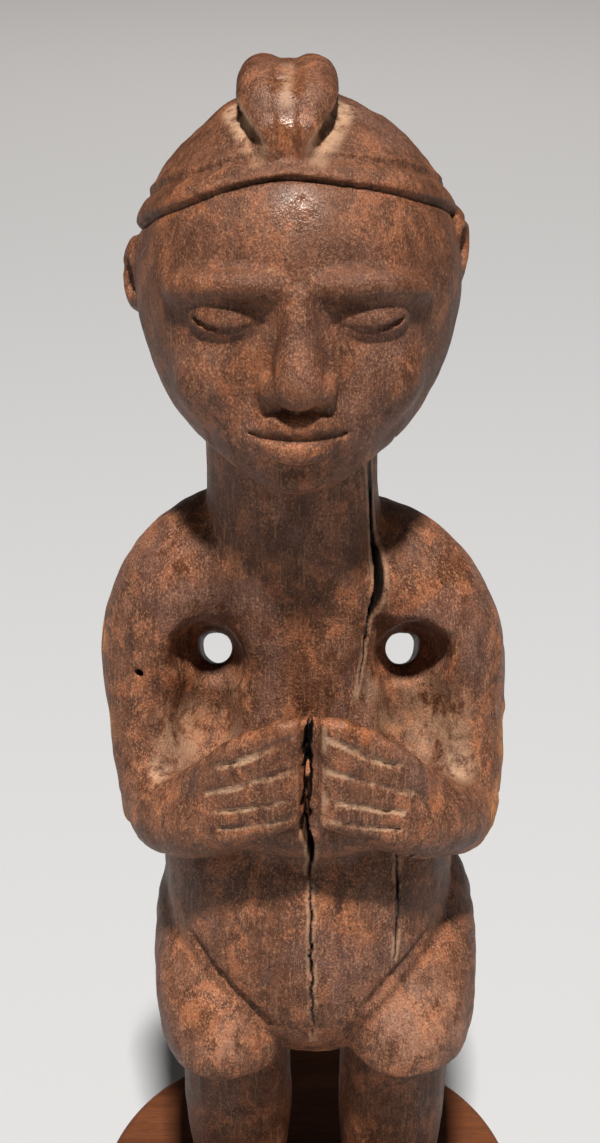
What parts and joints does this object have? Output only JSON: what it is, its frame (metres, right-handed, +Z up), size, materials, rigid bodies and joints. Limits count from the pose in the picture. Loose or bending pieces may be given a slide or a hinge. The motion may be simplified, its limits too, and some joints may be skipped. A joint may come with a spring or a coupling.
{
  "type": "carved ancestor figure",
  "caption": "Standing wooden ancestor figure with joined hands and a crested head, dropped over steel pins in a round display base with a felt underside.",
  "frame": {"origin": "centre of the felt pad's underside, which is the face the object rests on", "axes": "+Z up along the figure's height; the figure faces -Y; +X is the figure's left"},
  "size_m": [0.09, 0.09, 0.2598],
  "materials": {
    "carved_wood": "old hand-rubbed red-brown patina, satin",
    "base_wood": "stained and waxed, satin",
    "felt": "dark felt",
    "pin_steel": "plain drawn rod"
  },
  "bodies": {
    "base": {"display_base": "base_wood", "felt_pad": "felt", "left_mounting_pin": "pin_steel", "right_mounting_pin": "pin_steel"},
    "figure": {"carved_figure": "carved_wood"}
  },
  "joints": [
    {"name": "figure_lift", "type": "slide", "parent": "base", "child": "figure", "axis": [0, 0, 1], "range_m": [0, 0.03]}
  ]
}
